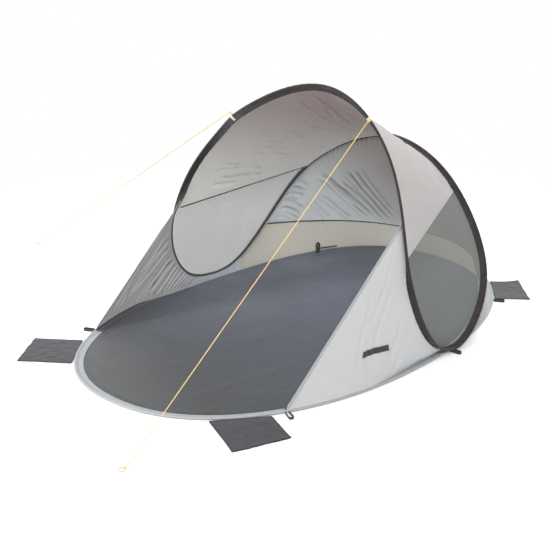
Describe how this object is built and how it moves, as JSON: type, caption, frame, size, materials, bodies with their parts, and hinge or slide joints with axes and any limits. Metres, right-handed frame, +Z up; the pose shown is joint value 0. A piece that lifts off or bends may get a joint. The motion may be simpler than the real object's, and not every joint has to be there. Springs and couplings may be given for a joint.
{
  "type": "beach tent",
  "caption": "Open-fronted pop-up beach shelter: a sprung saddle hoop over a sprung oval floor ring, with cloth and mesh walls, sand pockets, peg loops and guy lines.",
  "frame": {"origin": "on the ground at the middle of the floor, on the groundsheet's underside", "axes": "+Z up, the open mouth faces -Y, +X is the side with the higher shoulder of the hoop"},
  "size_m": [2.1829, 2.2144, 0.9581],
  "materials": {
    "spring_steel": "bare spring wire",
    "crimp_steel": "plain crimped tube",
    "sleeve_cloth": "dark brown-black woven polyester, folded and stitched",
    "hem_cloth": "light grey woven polyester binding",
    "light_cloth": "near-white coated polyester, silver-grey inside",
    "roof_cloth": "light grey coated polyester, wrinkled",
    "mesh_cloth": "fine grey insect mesh",
    "floor_cloth": "dark slate-grey coated groundsheet",
    "pocket_cloth": "dark grey woven polyester",
    "tape_cloth": "dark grey seam tape",
    "webbing": "black ribbed webbing",
    "tab_webbing": "cream webbing",
    "patch_cloth": "plain dark grey sewn patch",
    "guy_rope": "golden braided cord"
  },
  "bodies": {
    "tent": {"hoop_wire": "spring_steel", "base_wire": "spring_steel", "hoop_crimp": "crimp_steel", "base_crimp": "crimp_steel", "front_sleeve": "sleeve_cloth", "back_sleeve": "sleeve_cloth", "base_hem": "hem_cloth", "groundsheet": "floor_cloth", "roof_panel": "roof_cloth", "side_mesh_right": "mesh_cloth", "side_mesh_left": "mesh_cloth", "wing_right": "light_cloth", "wing_left": "light_cloth", "wing_binding_right": "hem_cloth", "wing_binding_left": "hem_cloth", "gusset_right": "light_cloth", "gusset_left": "light_cloth", "back_panel": "light_cloth", "back_strip": "light_cloth", "closing_strap": "webbing", "closing_ring": "webbing", "seam_tape_right": "tape_cloth", "seam_tape_left": "tape_cloth", "seam_tape_rear": "tape_cloth", "plain_patch": "patch_cloth", "peg_loop_side_right": "webbing", "peg_loop_side_left": "webbing", "guy_tab_right": "tab_webbing", "guy_tab_left": "tab_webbing", "guy_knot_right": "guy_rope", "guy_knot_left": "guy_rope", "guy_rope_right": "guy_rope", "guy_rope_left": "guy_rope", "guy_eye_right": "guy_rope", "guy_eye_left": "guy_rope"},
    "front_right_pocket": {"sand_pocket_front_right": "pocket_cloth"},
    "front_left_pocket": {"sand_pocket_front_left": "pocket_cloth"},
    "back_right_pocket": {"sand_pocket_back_right": "pocket_cloth"},
    "back_left_pocket": {"sand_pocket_back_left": "pocket_cloth"},
    "front_right_loop": {"peg_loop_front_right": "webbing"},
    "front_left_loop": {"peg_loop_front_left": "webbing"},
    "back_right_loop": {"peg_loop_back_right": "webbing"},
    "back_left_loop": {"peg_loop_back_left": "webbing"}
  },
  "joints": [
    {"name": "front_right_pocket_lift", "type": "hinge", "parent": "tent", "child": "front_right_pocket", "pos_m": [0.40839, -0.77556, 0.0051], "axis": [-0.6321, -0.7749, 0], "range_deg": [0, 90]},
    {"name": "front_left_pocket_lift", "type": "hinge", "parent": "tent", "child": "front_left_pocket", "pos_m": [-0.38201, -0.8079, 0.0051], "axis": [-0.6321, 0.7749, 0], "range_deg": [0, 90]},
    {"name": "back_right_pocket_lift", "type": "hinge", "parent": "tent", "child": "back_right_pocket", "pos_m": [0.37333, 0.74515, 0.0051], "axis": [0.5885, -0.8085, 0], "range_deg": [0, 90]},
    {"name": "back_left_pocket_lift", "type": "hinge", "parent": "tent", "child": "back_left_pocket", "pos_m": [-0.47453, 0.7598, 0.0051], "axis": [0.5031, 0.8642, 0], "range_deg": [0, 90]},
    {"name": "front_right_loop_lift", "type": "hinge", "parent": "tent", "child": "front_right_loop", "pos_m": [0.48822, -0.64694, 0.0093], "axis": [-0.4784, -0.8781, 0], "range_deg": [0, 90]},
    {"name": "front_left_loop_lift", "type": "hinge", "parent": "tent", "child": "front_left_loop", "pos_m": [-0.48822, -0.64694, 0.0093], "axis": [-0.4784, 0.8781, 0], "range_deg": [0, 90]},
    {"name": "back_right_loop_lift", "type": "hinge", "parent": "tent", "child": "back_right_loop", "pos_m": [0.44125, 0.64206, 0.0093], "axis": [0.5181, -0.8553, 0], "range_deg": [0, 90]},
    {"name": "back_left_loop_lift", "type": "hinge", "parent": "tent", "child": "back_left_loop", "pos_m": [-0.52444, 0.642, 0.0093], "axis": [0.3328, 0.943, 0], "range_deg": [0, 90]}
  ]
}
